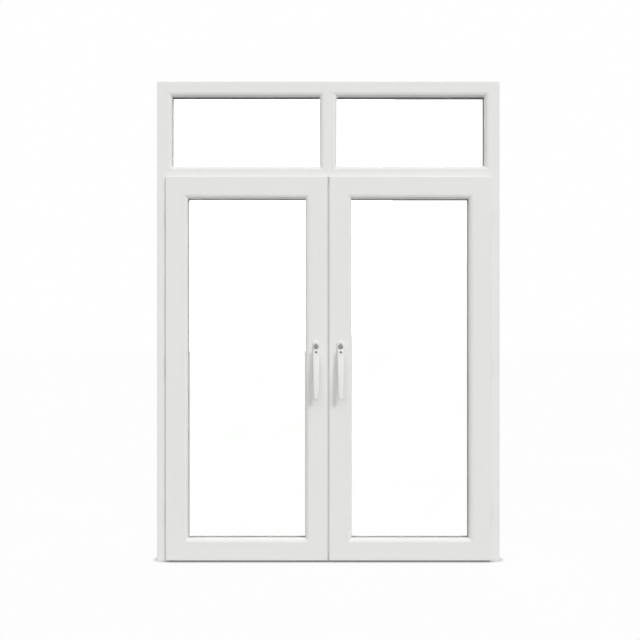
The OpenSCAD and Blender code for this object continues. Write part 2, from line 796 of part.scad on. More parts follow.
// Rack teeth towards +X from the pitch line at x = 0, spaces centred on z = 0
module rack(z0, z1, k0, k1) {
    t = gear_pitch / 4 - 0.08;
    d = dedendum;
    ta = tan(gear_a);
    translate([0, gear_w / 2, 0]) rotate([90, 0, 0]) linear_extrude(gear_w) {
        rect(-d - rod_t, -d, z0, z1);
        for (k = [k0:k1]) translate([0, (k + 0.5) * gear_pitch])
            polygon([[-d - 0.5, -t - d * ta], [-d - 0.5, t + d * ta], [-d, t + d * ta],
                [addendum, t - addendum * ta], [addendum, -t + addendum * ta], [-d, -t - d * ta]]);
    }
}

module top_rod() {
    end = body_top + bolt_out_top;
    top = end - 60 - handle_z;
    x = spindle_x - pitch_r;
    translate([x, gear_y, handle_z]) rack(-rack_end, top, -4, 1);
    translate([-top_bolt_x, gear_y, handle_z + top - eps]) cylinder(d = bolt_d, h = 60 + eps);
}

module bottom_rod() {
    end = body_low - bolt_out_low;
    low = end + 60 - handle_z;
    translate([spindle_x + pitch_r, gear_y, handle_z]) mirror([1, 0, 0]) mirror([0, 0, 1])
        rack(-rack_end, -low, -4, 1);
    translate([-low_bolt_x, gear_y, end]) cylinder(d = bolt_d, h = 60 + eps);
}

module gearbox() {
    s = rod_c - rod_t / 2 - 0.3;
    e = rod_c + rod_t / 2 + 0.3;
    c = gear_w / 2 + 0.3;
    difference() {
        block(spindle_x - case_u, spindle_x + case_u, case_y0, case_y1,
            handle_z - case_down, handle_z + case_up);
        block(spindle_x - e, spindle_x + e, gear_y - c, gear_y + c, handle_z - cavity_h, handle_z + cavity_h);
        block(spindle_x - e, spindle_x - s, gear_y - c, gear_y + c, handle_z, handle_z + case_up + eps);
        block(spindle_x + s, spindle_x + e, gear_y - c, gear_y + c, handle_z - case_down - eps, handle_z);
        rod_y(spindle_x, handle_z, hub_d + 2 * play, case_y0 - eps, case_y1 + eps);
        for (z = [screw_low, screw_high])
            rod_y(spindle_x, handle_z + z, screw_d, case_y0 - eps, case_y0 + 6);
    }
}

module lock_turn() {
    z = handle_z + lock_rise;
    y = leaf_y - rose_t;
    rod_y(spindle_x, z, lock_d, y - eps, leaf_y - 2.5);
    translate([0, y - play, 0]) rotate([90, 0, 0]) linear_extrude(lever_off - rose_t - play - 1)
        polygon(concat(arc(spindle_x, z, turn_r, 150, 390, 20), [[spindle_x + 1.5, z + turn_r * 1.45],
            [spindle_x - 1.5, z + turn_r * 1.45]]));
}

// ---------- the two leaves ----------

module piece(name) {
    if (name == "hinge_stile") color(white) hinge_stile();
    if (name == "lock_stile") color(white) lock_stile();
    if (name == "top_rail") color(white) top_rail();
    if (name == "bottom_rail") color(white) bottom_rail();
    if (name == "reinforcements") color(steel) reinforcements();
    if (name == "meeting_profile") color(white) meeting_profile();
    if (name == "inner_pane") color(glass) pane(sash_w, sash_h, leaf_cx, leaf_cz, leaf_lip_y - g3);
    if (name == "outer_pane") color(glass) pane(sash_w, sash_h, leaf_cx, leaf_cz, leaf_lip_y - g1);
    if (name == "spacer") color("#8d9092") spacer_ring(sash_w, sash_h, leaf_cx, leaf_cz, leaf_lip_y);
    if (name == "beads") color(white) ring(sash_w, sash_h, leaf_cx, leaf_cz, lip_h) bead_section(leaf_lip_y);
    if (name == "glazing_gaskets") color(rubber) gasket_rings(sash_w, sash_h, leaf_cx, leaf_cz, leaf_lip_y);
    if (name == "packers") color("#2f6f9f") packer_set(sash_w, sash_h, leaf_cx, leaf_cz, leaf_lip_y);
    if (name == "leaf_seal") color(rubber) leaf_seal();
    if (name == "hinge_flaps") color(steel) for (z = hinge_zs) hinge_flap(z);
    if (name == "gearbox") color(steel) gearbox();
    if (name == "handle_rose") color(white) handle_rose();
    if (name == "handle_lever") color(white) handle_lever();
    if (name == "spindle") color(dark) spindle_solid();
    if (name == "pinion") color(steel) pinion();
    if (name == "top_rod") color(steel) top_rod();
    if (name == "bottom_rod") color(steel) bottom_rod();
    if (name == "lock_turn") color(dark) lock_turn();
}

module left(name) {
    piece(name);
}

module right(name) {
    mirror([1, 0, 0]) piece(name);
}

module left_hinge_stile() {
    left("hinge_stile");
}

module left_lock_stile() {
    left("lock_stile");
}

module left_top_rail() {
    left("top_rail");
}

module left_bottom_rail() {
    left("bottom_rail");
}

module left_reinforcements() {
    left("reinforcements");
}

module left_meeting_profile() {
    left("meeting_profile");
}

module left_inner_pane() {
    left("inner_pane");
}

module left_outer_pane() {
    left("outer_pane");
}

module left_spacer() {
    left("spacer");
}

module left_beads() {
    left("beads");
}

module left_glazing_gaskets() {
    left("glazing_gaskets");
}

module left_packers() {
    left("packers");
}

module left_leaf_seal() {
    left("leaf_seal");
}

module left_hinge_flaps() {
    left("hinge_flaps");
}

module left_gearbox() {
    left("gearbox");
}

module left_handle_rose() {
    left("handle_rose");
}

module left_handle_lever() {
    left("handle_lever");
}

module left_spindle() {
    left("spindle");
}

module left_pinion() {
    left("pinion");
}

module left_top_rod() {
    left("top_rod");
}

module left_bottom_rod() {
    left("bottom_rod");
}

module left_lock_turn() {
    left("lock_turn");
}

module right_hinge_stile() {
    right("hinge_stile");
}

module right_lock_stile() {
    right("lock_stile");
}

module right_top_rail() {
    right("top_rail");
}

module right_bottom_rail() {
    right("bottom_rail");
}

module right_reinforcements() {
    right("reinforcements");
}

module right_meeting_profile() {
    right("meeting_profile");
}

module right_inner_pane() {
    right("inner_pane");
}

module right_outer_pane() {
    right("outer_pane");
}

module right_spacer() {
    right("spacer");
}

module right_beads() {
    right("beads");
}

module right_glazing_gaskets() {
    right("glazing_gaskets");
}

module right_packers() {
    right("packers");
}

module right_leaf_seal() {
    right("leaf_seal");
}

module right_hinge_flaps() {
    right("hinge_flaps");
}

module right_gearbox() {
    right("gearbox");
}

module right_handle_rose() {
    right("handle_rose");
}

module right_handle_lever() {
    right("handle_lever");
}

module right_spindle() {
    right("spindle");
}

module right_pinion() {
    right("pinion");
}

module right_top_rod() {
    right("top_rod");
}

module right_bottom_rod() {
    right("bottom_rod");
}

module right_lock_turn() {
    right("lock_turn");
}

frame_head();
frame_jamb_left();
frame_jamb_right();
transom();
mullion();
threshold();
frame_reinforcements();
frame_seal();
toplight_panes();
toplight_spacers();
toplight_beads();
toplight_gaskets();
toplight_packers();
bolt_keeps();
hinge_brackets();
hinge_pins();
left_hinge_stile();
left_lock_stile();
left_top_rail();
left_bottom_rail();
left_reinforcements();
left_meeting_profile();
left_inner_pane();
left_outer_pane();
left_spacer();
left_beads();
left_glazing_gaskets();
left_packers();
left_leaf_seal();
left_hinge_flaps();
left_gearbox();
left_handle_rose();
left_handle_lever();
left_spindle();
left_pinion();
left_top_rod();
left_bottom_rod();
left_lock_turn();
right_hinge_stile();
right_lock_stile();
right_top_rail();
right_bottom_rail();
right_reinforcements();
right_meeting_profile();
right_inner_pane();
right_outer_pane();
right_spacer();
right_beads();
right_glazing_gaskets();
right_packers();
right_leaf_seal();
right_hinge_flaps();
right_gearbox();
right_handle_rose();
right_handle_lever();
right_spindle();
right_pinion();
right_top_rod();
right_bottom_rod();
right_lock_turn();
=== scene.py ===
"""White uPVC french doors with two top lights, in their frame.

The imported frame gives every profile, pane and gear part. This script gives them their finishes, and adds
the cast handles, the glazing lips, the screws, the drain hoods and the tread of the threshold.
"""
import math

import bmesh
import bpy
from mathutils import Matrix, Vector


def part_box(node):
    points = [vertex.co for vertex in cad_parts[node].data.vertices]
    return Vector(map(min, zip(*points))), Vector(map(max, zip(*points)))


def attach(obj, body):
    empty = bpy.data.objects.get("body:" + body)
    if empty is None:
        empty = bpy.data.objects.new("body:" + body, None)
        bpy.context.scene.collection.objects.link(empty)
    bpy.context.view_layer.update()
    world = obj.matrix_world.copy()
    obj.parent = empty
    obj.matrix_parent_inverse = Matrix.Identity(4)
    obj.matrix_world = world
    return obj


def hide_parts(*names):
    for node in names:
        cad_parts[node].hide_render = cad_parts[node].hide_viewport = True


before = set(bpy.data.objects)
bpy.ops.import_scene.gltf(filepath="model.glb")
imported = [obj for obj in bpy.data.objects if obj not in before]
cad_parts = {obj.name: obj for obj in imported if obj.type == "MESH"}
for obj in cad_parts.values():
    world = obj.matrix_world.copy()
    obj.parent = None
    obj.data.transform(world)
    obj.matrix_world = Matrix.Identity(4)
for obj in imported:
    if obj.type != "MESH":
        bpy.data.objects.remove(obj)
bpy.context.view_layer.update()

MM = 0.001
SIDES = {"left": -1, "right": 1}


# ---------------------------------------------------------------- small helpers

def linear(hex_colour):
    """An sRGB hex colour as the linear colour that the shaders take."""
    parts = [int(hex_colour[i:i + 2], 16) / 255 for i in (1, 3, 5)]
    return (*[p / 12.92 if p <= 0.04045 else ((p + 0.055) / 1.055) ** 2.4 for p in parts], 1)


def add(tree, kind, inputs=None, **settings):
    """Adds a node with its settings; an input is a value, or the socket that feeds it."""
    made = tree.nodes.new(kind)
    for name, value in settings.items():
        setattr(made, name, value)
    for key, value in (inputs or {}).items():
        if isinstance(value, bpy.types.NodeSocket):
            tree.links.new(value, made.inputs[key])
        else:
            made.inputs[key].default_value = value
    return made


def finish(name, shader_values):
    """A material with its Principled shader set; returns material, tree, shader and object coordinates."""
    material = bpy.data.materials.new(name)
    material.use_nodes = True
    tree = material.node_tree
    shader = tree.nodes["Principled BSDF"]
    for key, value in shader_values.items():
        shader.inputs[key].default_value = value
    return material, tree, shader, add(tree, "ShaderNodeTexCoord").outputs["Object"]


def grain(tree, place, size_mm, detail=3.0):
    """Noise whose features are size_mm long along x, y and z."""
    scaled = add(tree, "ShaderNodeMapping", {"Vector": place, "Scale": [1 / (s * MM) for s in size_mm]})
    return add(tree, "ShaderNodeTexNoise", {"Vector": scaled.outputs["Vector"], "Scale": 1.0,
                                            "Detail": detail, "Roughness": 0.55}).outputs["Fac"]


def shade(tree, shader, pattern, dark, light, rough=None):
    """Colours the shader from a pattern, from dark to light, and its roughness between two values."""
    ramp = add(tree, "ShaderNodeValToRGB", {"Fac": pattern})
    ramp.color_ramp.elements[0].position = 0.3
    ramp.color_ramp.elements[0].color = linear(dark)
    ramp.color_ramp.elements[1].position = 0.7
    ramp.color_ramp.elements[1].color = linear(light)
    tree.links.new(ramp.outputs["Color"], shader.inputs["Base Color"])
    if rough:
        spread = add(tree, "ShaderNodeMapRange", {"Value": pattern, "From Min": 0.3, "From Max": 0.7,
                                                  "To Min": rough[0], "To Max": rough[1]})
        tree.links.new(spread.outputs["Result"], shader.inputs["Roughness"])


def relief(tree, shader, height, depth_mm, strength):
    """Bumps the shader by a height pattern."""
    bump = add(tree, "ShaderNodeBump", {"Height": height, "Distance": depth_mm * MM, "Strength": strength})
    tree.links.new(bump.outputs["Normal"], shader.inputs["Normal"])


# ---------------------------------------------------------------- finishes

def extruded_upvc(name, size_mm):
    """Extruded white uPVC: soft satin, with faint die lines that run along the bar."""
    material, tree, shader, place = finish(name, {"IOR": 1.53, "Specular IOR Level": 0.42})
    lines = grain(tree, place, size_mm)
    shade(tree, shader, lines, "#F1F1EF", "#F5F5F3", (0.34, 0.44))
    relief(tree, shader, lines, 0.04, 0.25)
    return material


def bead_upvc():
    """White uPVC of the bead sticks, cut from many bars: satin, evenly mottled."""
    material, tree, shader, place = finish("extruded_upvc_beads", {"IOR": 1.53, "Specular IOR Level": 0.42})
    mottle = grain(tree, place, (4, 4, 4))
    shade(tree, shader, mottle, "#F1F1EF", "#F5F5F3", (0.34, 0.44))
    relief(tree, shader, mottle, 0.03, 0.2)
    return material


def powder_coated_white():
    """Powder-coated zinc casting: brighter and glossier than the bars, with a fine orange peel."""
    material, tree, shader, place = finish(
        "powder_coated_casting", {"IOR": 1.5, "Coat Weight": 0.25, "Coat Roughness": 0.12})
    peel = grain(tree, place, (1.2, 1.2, 1.2), 2.0)
    shade(tree, shader, peel, "#F0F0EE", "#F3F3F1", (0.26, 0.34))
    relief(tree, shader, peel, 0.05, 0.3)
    return material


def satin_die_casting():
    """Satin-plated zinc die casting: dull grey metal with a soft highlight."""
    material, tree, shader, place = finish("satin_plated_casting", {"Metallic": 1.0})
    cloud = grain(tree, place, (2, 2, 2))
    shade(tree, shader, cloud, "#A3A4A0", "#B2B3AF", (0.36, 0.48))
    relief(tree, shader, cloud, 0.03, 0.25)
    return material


def blackened_steel():
    """Black-oxide steel of the grub screw: almost black, with an oily sheen."""
    material, tree, shader, place = finish("black_oxide_steel", {"IOR": 1.6})
    film = grain(tree, place, (1, 1, 1))
    shade(tree, shader, film, "#1E1E1D", "#2B2B29", (0.3, 0.45))
    relief(tree, shader, film, 0.02, 0.2)
    return material


def float_glass():
    """Clear float glass: colourless, with the slightest roller wave, a few hundred mm long."""
    material, tree, shader, place = finish(
        "clear_float_glass", {"IOR": 1.52, "Transmission Weight": 1.0, "Roughness": 0.0})
    wave = grain(tree, place, (380, 380, 240), 1.0)
    shade(tree, shader, wave, "#FDFEFD", "#FEFFFE")
    relief(tree, shader, wave, 0.02, 0.05)
    return material


def extruded_rubber():
    """Extruded light grey rubber: dull, with a dusty bloom of a few mm."""
    material, tree, shader, place = finish("extruded_grey_rubber", {"IOR": 1.5, "Specular IOR Level": 0.3})
    bloom = grain(tree, place, (3, 3, 9))
    shade(tree, shader, bloom, "#CBCCCA", "#D2D3D1", (0.62, 0.78))
    relief(tree, shader, bloom, 0.05, 0.3)
    return material


def mill_aluminium():
    """Roll-formed aluminium spacer: bright, with a double row of vent dots, drawn at 4 mm to show."""
    material, tree, shader, place = finish("roll_formed_aluminium", {"Metallic": 1.0})
    spots = add(tree, "ShaderNodeTexVoronoi", {"Vector": place, "Scale": 1 / (4 * MM), "Randomness": 0.0},
                distance="EUCLIDEAN").outputs["Distance"]
    dots = add(tree, "ShaderNodeMapRange", {"Value": spots, "From Min": 0.1, "From Max": 0.16,
                                            "To Min": 0.2, "To Max": 0.8})
    shade(tree, shader, dots.outputs["Result"], "#8A8C8E", "#D6D8DA", (0.5, 0.3))
    relief(tree, shader, dots.outputs["Result"], 0.2, 0.4)
    return material


def anodised_aluminium():
    """Anodised aluminium threshold: matt silver, brushed along its length."""
    material, tree, shader, place = finish("anodised_aluminium", {"Metallic": 0.75})
    brush = grain(tree, place, (180, 0.7, 0.7))
    shade(tree, shader, brush, "#C9CBCC", "#DADBDC", (0.34, 0.5))
    relief(tree, shader, brush, 0.05, 0.35)
    return material


def galvanised_steel():
    """Hot-dip galvanised steel: grey zinc in spangles about 9 mm across."""
    material, tree, shader, place = finish("galvanised_steel", {"Metallic": 1.0})
    spangle = add(tree, "ShaderNodeTexVoronoi", {"Vector": place, "Scale": 1 / (9 * MM)}).outputs["Color"]
    level = add(tree, "ShaderNodeSeparateColor", {"Color": spangle}).outputs["Red"]
    shade(tree, shader, level, "#A4A8AA", "#C6CACC", (0.34, 0.56))
    relief(tree, shader, grain(tree, place, (1.5, 1.5, 1.5)), 0.05, 0.3)
    return material


def plated_steel():
    """Zinc-plated steel fittings: bright, faintly blue, with a fine handling mottle."""
    material, tree, shader, place = finish("zinc_plated_steel", {"Metallic": 1.0})
    mottle = grain(tree, place, (5, 5, 5), 4.0)
    shade(tree, shader, mottle, "#CBD0D4", "#D9DCDF", (0.24, 0.38))
    relief(tree, shader, grain(tree, place, (0.8, 0.8, 0.8)), 0.02, 0.25)
    return material


def moulded_packer():
    """Moulded polypropylene packers: slightly waxy, with the matt texture of the mould."""
    material, tree, shader, place = finish("moulded_polypropylene", {"IOR": 1.49})
    mould = grain(tree, place, (1, 1, 1))
    shade(tree, shader, mould, "#3F6FA8", "#4A7AB2", (0.45, 0.6))
    relief(tree, shader, mould, 0.05, 0.4)
    return material


UPRIGHT_UPVC = extruded_upvc("extruded_upvc_upright", (1.6, 1.6, 420))
LEVEL_UPVC = extruded_upvc("extruded_upvc_level", (420, 1.6, 1.6))
BEAD_UPVC = bead_upvc()
COATED = powder_coated_white()
PLATED = satin_die_casting()
BLACKENED = blackened_steel()
GLASS = float_glass()
RUBBER = extruded_rubber()
SPACER = mill_aluminium()
ANODISED = anodised_aluminium()
GALVANISED = galvanised_steel()
ZINC = plated_steel()
PACKER = moulded_packer()

FRAME_FINISHES = {
    "frame_head": LEVEL_UPVC, "transom": LEVEL_UPVC, "frame_jamb_left": UPRIGHT_UPVC,
    "frame_jamb_right": UPRIGHT_UPVC, "mullion": UPRIGHT_UPVC, "threshold": ANODISED,
    "frame_reinforcements": GALVANISED, "frame_seal": RUBBER, "toplight_panes": GLASS,
    "toplight_spacers": SPACER, "toplight_beads": BEAD_UPVC, "toplight_gaskets": RUBBER,
    "toplight_packers": PACKER, "bolt_keeps": ZINC, "hinge_brackets": ZINC, "hinge_pins": ZINC,
}
LEAF_FINISHES = {
    "hinge_stile": UPRIGHT_UPVC, "lock_stile": UPRIGHT_UPVC, "meeting_profile": UPRIGHT_UPVC,
    "top_rail": LEVEL_UPVC, "bottom_rail": LEVEL_UPVC, "reinforcements": GALVANISED,
    "inner_pane": GLASS, "outer_pane": GLASS, "spacer": SPACER, "beads": BEAD_UPVC,
    "glazing_gaskets": RUBBER, "packers": PACKER, "leaf_seal": RUBBER, "hinge_flaps": ZINC,
    "gearbox": ZINC, "handle_rose": COATED, "handle_lever": COATED, "spindle": PLATED,
    "pinion": ZINC, "top_rod": ZINC, "bottom_rod": ZINC, "lock_turn": PLATED,
}


def paint_nodes():
    """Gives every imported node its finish."""
    finishes = dict(FRAME_FINISHES)
    for side in SIDES:
        finishes.update({f"{side}_{name}": material for name, material in LEAF_FINISHES.items()})
    for name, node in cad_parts.items():
        node.data.materials.clear()
        node.data.materials.append(finishes[name])
        node.visible_shadow = finishes[name] is not GLASS


# ---------------------------------------------------------------- making pieces

def piece(name, mesh, body, smooth_angle=None):
    """A finished piece from a mesh: it rides a body and keeps the finish that its mesh already holds."""
    made = bpy.data.objects.new(name, mesh)
    bpy.context.scene.collection.objects.link(made)
    if smooth_angle is not None:
        mesh.shade_smooth()
        mesh.set_sharp_from_angle(angle=math.radians(smooth_angle))
    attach(made, body)
    return made


def skin(bm, rings):
    """Joins rings of points into a closed skin, with a fan at each end."""
    rows = [[bm.verts.new(p) for p in ring] for ring in rings]
    count = len(rows[0])
    for a, b in zip(rows, rows[1:]):
        for i in range(count):
            j = (i + 1) % count
            bm.faces.new((a[i], a[j], b[j], b[i]))
    for row, flip in ((rows[0], True), (rows[-1], False)):
        middle = bm.verts.new(sum((v.co for v in row), Vector()) / count)
        for i in range(count):
            j = (i + 1) % count
            bm.faces.new((middle, row[j], row[i]) if flip else (middle, row[i], row[j]))


def turned(bm, centre, steps, count=32):
    """A turned shape about an axis along y through centre (x, z): steps are its (radius, y)."""
    x, z = centre
    skin(bm, [[Vector((x + r * math.cos(2 * math.pi * i / count), y,
                       z + r * math.sin(2 * math.pi * i / count))) for i in range(count)] for r, y in steps])


def solid_mesh(name, bm, material):
    """A mesh whose faces all point outwards, with one material."""
    bmesh.ops.recalc_face_normals(bm, faces=bm.faces)
    mesh = bpy.data.meshes.new(name)
    bm.to_mesh(mesh)
    bm.free()
    mesh.materials.append(material)
    return mesh


# ---------------------------------------------------------------- handles

RING_POINTS = 32
LEVER_STATIONS = 40
STATION_BUNCHING = 0.55
LEVER_SQUARENESS = 3.2
SOFT_BEND = 0.05
LEVER_HALF_T = 6 * MM
LEVER_TIP_R = 12 * MM
LEVER_SHOULDER = 9 * MM
BEND_BELOW_HUB = 16 * MM
TAPER_BELOW_HUB = 20 * MM
LEVER_END_ROUND = 5 * MM
THINNEST_END_SQUARED = 0.04
NARROWEST_HALF_W = 0.6 * MM
NECK_R = 10 * MM
LOCK_TURN_R = 12 * MM
LOCK_BOSS_R = 9 * MM
BACKPLATE_CORNER = 12 * MM
BACKPLATE_EDGE = 4 * MM
BACKPLATE_POSTS = (-32 * MM, 47.5 * MM)
POST_R = 2.5 * MM
POST_TIP_R = 1.6 * MM


def lever_section(x, y, z, half_w, half_t):
    """One level section of the lever: an oval with squared shoulders."""
    points = []
    for i in range(RING_POINTS):
        a = 2 * math.pi * i / RING_POINTS
        c, s = math.cos(a), math.sin(a)
        points.append(Vector((x + math.copysign(abs(c) ** (2 / LEVER_SQUARENESS), c) * half_w,
                              y + math.copysign(abs(s) ** (2 / LEVER_SQUARENESS), s) * half_t, z)))
    return points


def add_lever(side):
    """The cast lever: a flat hub, a blade that leans out and narrows to a round tip, and its neck."""
    lo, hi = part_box(f"{side}_handle_lever")
    spindle_lo, spindle_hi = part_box(f"{side}_spindle")
    plate_lo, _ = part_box(f"{side}_handle_rose")
    x = (lo.x + hi.x) / 2
    hub_z = (spindle_lo.z + spindle_hi.z) / 2
    hub_y = spindle_lo.y + LEVER_HALF_T
    tip_y = lo.y + LEVER_HALF_T
    wide = (hi.x - lo.x) / 2
    bend_z = hub_z - BEND_BELOW_HUB
    taper_z = hub_z - TAPER_BELOW_HUB
    tip_z = lo.z + LEVER_TIP_R
    shoulder_z = hi.z - LEVER_SHOULDER
    length = hi.z - lo.z

    def lean(z):
        """How far out the blade's middle is at height z: it leans out below the hub, then hangs upright."""
        drop = (bend_z - z) / (bend_z - lo.z)
        share = min(1, 0.5 * (drop + math.sqrt(drop * drop + SOFT_BEND ** 2)))
        return hub_y + (tip_y - hub_y) * (1 - (1 - share) ** 2)

    def half_width(z):
        """Half the blade's width at height z, with round shoulders and a round tip."""
        run = min(1, max(0, (taper_z - z) / (taper_z - tip_z)))
        width = wide + (LEVER_TIP_R - wide) * run
        if z > shoulder_z:
            rise = (z - shoulder_z) / LEVER_SHOULDER
            width -= LEVER_SHOULDER * (1 - math.sqrt(max(0, 1 - rise * rise)))
        if z < tip_z:
            fall = (tip_z - z) / LEVER_TIP_R
            width = LEVER_TIP_R * math.sqrt(max(0, 1 - fall * fall))
        return width

    bm = bmesh.new()
    rings = []
    for i in range(LEVER_STATIONS + 1):
        t = i / LEVER_STATIONS
        even = 0.5 - 0.5 * math.cos(math.pi * t)
        z = hi.z - length * (STATION_BUNCHING * even + (1 - STATION_BUNCHING) * t)
        ends = min(1, (hi.z - z) / LEVER_END_ROUND, (z - lo.z) / LEVER_END_ROUND)
        thick = LEVER_HALF_T * math.sqrt(max(THINNEST_END_SQUARED, 1 - (1 - ends) ** 2))
        rings.append(lever_section(x, lean(z), z, max(half_width(z), NARROWEST_HALF_W), thick))
    skin(bm, rings)
    hub_back = hub_y + LEVER_HALF_T
    turned(bm, (x, hub_z), [(NECK_R - MM, plate_lo.y + 10 * MM),
                            (NECK_R, plate_lo.y + 0.4 * MM),
                            (NECK_R - 0.8 * MM, plate_lo.y - 1.5 * MM),
                            (NECK_R - 0.8 * MM, hub_back + 2.5 * MM),
                            (NECK_R + 1.5 * MM, hub_back + 0.6 * MM),
                            (NECK_R + 2.2 * MM, hub_back - 2 * MM)])
    lever = piece(f"{side}_cast_lever", solid_mesh(f"{side}_cast_lever", bm, COATED),
                  f"{side}_handle", 40)
    round_off = lever.modifiers.new("soft_skin", "SUBSURF")
    round_off.levels = round_off.render_levels = 1
    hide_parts(f"{side}_handle_lever")


def add_spindle_cap(side):
    """The small dark grub screw that holds the lever on its spindle."""
    lo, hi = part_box(f"{side}_spindle")
    centre = ((lo.x + hi.x) / 2, (lo.z + hi.z) / 2)
    bm = bmesh.new()
    turned(bm, centre, [(r * MM, lo.y + y * MM) for r, y in (
        (5.4, 2), (5.4, -0.3), (5.0, -0.8), (3.4, -1.1), (1.9, -1.1), (1.7, -0.6), (1.6, 0.6))])
    piece(f"{side}_grub_screw", solid_mesh(f"{side}_grub_screw", bm, BLACKENED),
          f"{side}_handle", 50)


def rounded_oblong(x, y, z, half_w, half_h, radius, count=12):
    """A level-sided oblong in the plane of the leaf, with round corners."""
    points = []
    for sx, sz, start in ((1, 1, 0), (-1, 1, 90), (-1, -1, 180), (1, -1, 270)):
        for i in range(count):
            a = math.radians(start + 90 * i / (count - 1))
            points.append(Vector((x + sx * (half_w - radius) + radius * math.cos(a), y,
                                  z + sz * (half_h - radius) + radius * math.sin(a))))
    return points


def add_backplate(side):
    """The cast backplate: an oblong with round ends, a soft edge and a faint crown, on two screw posts."""
    lo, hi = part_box(f"{side}_handle_rose")
    leaf_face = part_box(f"{side}_lock_stile")[0].y
    x, z = (lo.x + hi.x) / 2, (lo.z + hi.z) / 2
    half_w, half_h = (hi.x - lo.x) / 2, (hi.z - lo.z) / 2
    edge = BACKPLATE_EDGE
    rings = [(0, leaf_face), (0, lo.y + edge)]
    rings += [(edge * (1 - math.cos(math.radians(a))), lo.y + edge - edge * 0.9 * math.sin(math.radians(a)))
              for a in (15, 30, 45, 60, 75, 90)]
    rings += [(edge + 3 * MM, lo.y + 0.15 * MM), (edge + 6 * MM, lo.y)]
    bm = bmesh.new()
    skin(bm, [rounded_oblong(x, y, z, half_w - d, half_h - d, max(BACKPLATE_CORNER - d, 1.5 * MM))
              for d, y in rings])
    spindle_lo, spindle_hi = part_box(f"{side}_spindle")
    handle_z = (spindle_lo.z + spindle_hi.z) / 2
    for post in BACKPLATE_POSTS:
        turned(bm, (x, handle_z + post),
               [(POST_R, leaf_face - MM), (POST_R, hi.y + MM), (POST_TIP_R, hi.y)], 16)
    plate = piece(f"{side}_backplate", solid_mesh(f"{side}_backplate", bm, COATED),
                  f"{side}_leaf", 35)
    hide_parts(f"{side}_handle_rose")


def add_lock_turn(side):
    """The teardrop thumb turn, with a soft edge and a crown, on its boss."""
    lo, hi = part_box(f"{side}_lock_turn")
    plate_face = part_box(f"{side}_handle_rose")[0].y
    x = (lo.x + hi.x) / 2
    z = lo.z + LOCK_TURN_R
    tip = hi.z - z
    outline = [(LOCK_TURN_R * math.cos(math.radians(a)), LOCK_TURN_R * math.sin(math.radians(a)))
               for a in range(150, 391, 10)]
    outline += [(2.4 * MM, tip - 2 * MM), (1.2 * MM, tip - 0.3 * MM),
                (-1.2 * MM, tip - 0.3 * MM), (-2.4 * MM, tip - 2 * MM)]
    back = plate_face - 0.2 * MM
    deep = back - lo.y
    rings = [(0.97, back), (1.0, back - 0.15 * deep), (1.0, back - 0.6 * deep), (0.95, back - 0.82 * deep),
             (0.86, back - 0.94 * deep), (0.6, lo.y + 0.05 * MM), (0.25, lo.y)]
    bm = bmesh.new()
    skin(bm, [[Vector((x + u * k, y, z + v * k)) for u, v in outline] for k, y in rings])
    turned(bm, (x, z), [(LOCK_BOSS_R, hi.y), (LOCK_BOSS_R, back - MM)])
    turn = piece(f"{side}_thumb_turn", solid_mesh(f"{side}_thumb_turn", bm, PLATED),
                 f"{side}_lock", 35)
    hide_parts(f"{side}_lock_turn")


# ---------------------------------------------------------------- geometry trees

def new_tree(name, sockets):
    """A geometry tree with named inputs; returns the tree and its group input node."""
    tree = bpy.data.node_groups.new(name, "GeometryNodeTree")
    tree.interface.new_socket("Geometry", in_out="INPUT", socket_type="NodeSocketGeometry")
    tree.interface.new_socket("Geometry", in_out="OUTPUT", socket_type="NodeSocketGeometry")
    for label, kind in sockets.items():
        tree.interface.new_socket(label, in_out="INPUT", socket_type=f"NodeSocket{kind}")
    return tree, add(tree, "NodeGroupInput").outputs


def close_tree(tree, given, geometry):
    """Ends a tree: real geometry, with its finish set."""
    real = add(tree, "GeometryNodeRealizeInstances", {"Geometry": geometry}).outputs["Geometry"]
    done = add(tree, "GeometryNodeSetMaterial", {"Geometry": real, "Material": given["Finish"]})
    add(tree, "NodeGroupOutput", {"Geometry": done.outputs["Geometry"]})


def grow(name, tree, base, body, values, smooth_angle=40):
    """Runs a tree on a base mesh and keeps the result as one plain mesh piece."""
    holder = bpy.data.objects.new(f"{name}_base", base)
    bpy.context.scene.collection.objects.link(holder)
    modifier = holder.modifiers.new(name, "NODES")
    modifier.node_group = tree
    for item in tree.interface.items_tree:
        if item.in_out == "INPUT" and item.name in values:
            modifier[item.identifier] = values[item.name]
    depsgraph = bpy.context.evaluated_depsgraph_get()
    mesh = bpy.data.meshes.new_from_object(holder.evaluated_get(depsgraph))
    holder.modifiers.clear()
    bpy.data.objects.remove(holder)
    return piece(name, mesh, body, smooth_angle)


def edges_mesh(name, loops, closed):
    """Runs of points joined by edges."""
    points, edges = [], []
    for loop in loops:
        first, count = len(points), len(loop)
        points += loop
        edges += [(first + i, first + (i + 1) % count) for i in range(count if closed else count - 1)]
    mesh = bpy.data.meshes.new(name)
    mesh.from_pydata(points, edges, [])
    return mesh


